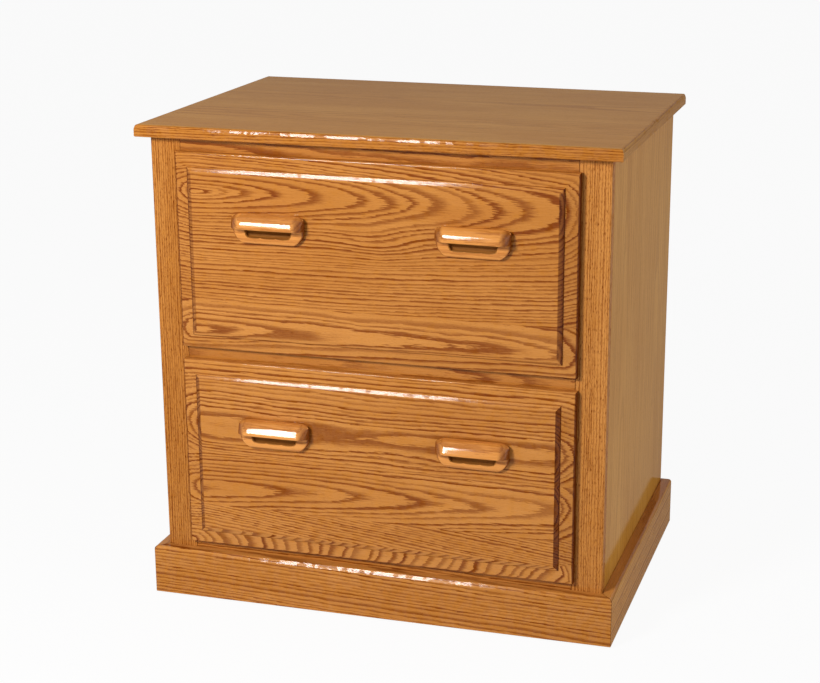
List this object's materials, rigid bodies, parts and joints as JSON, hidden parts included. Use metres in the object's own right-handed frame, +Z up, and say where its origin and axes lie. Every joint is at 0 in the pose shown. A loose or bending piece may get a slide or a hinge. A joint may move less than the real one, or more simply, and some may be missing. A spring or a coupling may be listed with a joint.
{
  "type": "lateral filing cabinet",
  "caption": "Oak lateral filing cabinet: face-framed case, overhanging top, plinth, raised-panel file drawers on full-extension slides, wooden finger pulls.",
  "frame": {"origin": "on the floor, under the middle of the cabinet's bounding box", "axes": "+Z up, +X to the right seen from the front, +Y to the back; the drawers open along -Y"},
  "size_m": [0.7624, 0.5762, 0.7782],
  "materials": {
    "oak_solid": "glossy clear varnish over stained oak",
    "oak_veneer": "glossy clear varnish over stained oak veneer",
    "plywood": "satin clear lacquer",
    "maple": "satin clear lacquer",
    "slide_steel": "bright zinc plate",
    "rail_steel": "brushed",
    "glide_nylon": "moulded"
  },
  "bodies": {
    "cabinet": {"top_panel": "oak_veneer", "left_side_panel": "oak_veneer", "right_side_panel": "oak_veneer", "back_panel": "plywood", "bottom_panel": "plywood", "left_stile": "oak_solid", "right_stile": "oak_solid", "top_rail": "oak_solid", "middle_rail": "oak_solid", "bottom_rail": "oak_solid", "front_plinth": "oak_solid", "left_plinth": "oak_solid", "right_plinth": "oak_solid", "rear_plinth": "oak_solid", "front_top_cleat": "maple", "rear_top_cleat": "maple", "upper_left_slide_spacer": "maple", "upper_right_slide_spacer": "maple", "lower_left_slide_spacer": "maple", "lower_right_slide_spacer": "maple", "front_left_corner_block": "maple", "front_right_corner_block": "maple", "rear_left_corner_block": "maple", "rear_right_corner_block": "maple", "upper_left_outer_slide": "slide_steel", "upper_right_outer_slide": "slide_steel", "lower_left_outer_slide": "slide_steel", "lower_right_outer_slide": "slide_steel", "front_left_glide": "glide_nylon", "front_right_glide": "glide_nylon", "rear_left_glide": "glide_nylon", "rear_right_glide": "glide_nylon"},
    "upper_drawer": {"upper_drawer_front": "oak_solid", "upper_box_front": "maple", "upper_box_left": "maple", "upper_box_right": "maple", "upper_box_back": "maple", "upper_box_bottom": "plywood", "upper_front_file_rail": "rail_steel", "upper_rear_file_rail": "rail_steel", "upper_left_pull": "oak_solid", "upper_right_pull": "oak_solid", "upper_left_inner_slide": "slide_steel", "upper_right_inner_slide": "slide_steel"},
    "upper_left_runner": {"upper_left_middle_slide": "slide_steel"},
    "upper_right_runner": {"upper_right_middle_slide": "slide_steel"},
    "lower_drawer": {"lower_drawer_front": "oak_solid", "lower_box_front": "maple", "lower_box_left": "maple", "lower_box_right": "maple", "lower_box_back": "maple", "lower_box_bottom": "plywood", "lower_front_file_rail": "rail_steel", "lower_rear_file_rail": "rail_steel", "lower_left_pull": "oak_solid", "lower_right_pull": "oak_solid", "lower_left_inner_slide": "slide_steel", "lower_right_inner_slide": "slide_steel"},
    "lower_left_runner": {"lower_left_middle_slide": "slide_steel"},
    "lower_right_runner": {"lower_right_middle_slide": "slide_steel"}
  },
  "joints": [
    {"name": "upper_drawer_slide", "type": "slide", "parent": "cabinet", "child": "upper_drawer", "axis": [0, -1, 0], "range_m": [0, 0.5]},
    {"name": "upper_left_runner_slide", "type": "slide", "parent": "cabinet", "child": "upper_left_runner", "axis": [0, -1, 0], "range_m": [0, 0.25]},
    {"name": "upper_right_runner_slide", "type": "slide", "parent": "cabinet", "child": "upper_right_runner", "axis": [0, -1, 0], "range_m": [0, 0.25]},
    {"name": "lower_drawer_slide", "type": "slide", "parent": "cabinet", "child": "lower_drawer", "axis": [0, -1, 0], "range_m": [0, 0.5]},
    {"name": "lower_left_runner_slide", "type": "slide", "parent": "cabinet", "child": "lower_left_runner", "axis": [0, -1, 0], "range_m": [0, 0.25]},
    {"name": "lower_right_runner_slide", "type": "slide", "parent": "cabinet", "child": "lower_right_runner", "axis": [0, -1, 0], "range_m": [0, 0.25]}
  ],
  "couplings": [
    {"joint": "upper_left_runner_slide", "follows": "upper_drawer_slide", "ratio": 0.5},
    {"joint": "upper_right_runner_slide", "follows": "upper_drawer_slide", "ratio": 0.5},
    {"joint": "lower_left_runner_slide", "follows": "lower_drawer_slide", "ratio": 0.5},
    {"joint": "lower_right_runner_slide", "follows": "lower_drawer_slide", "ratio": 0.5}
  ]
}
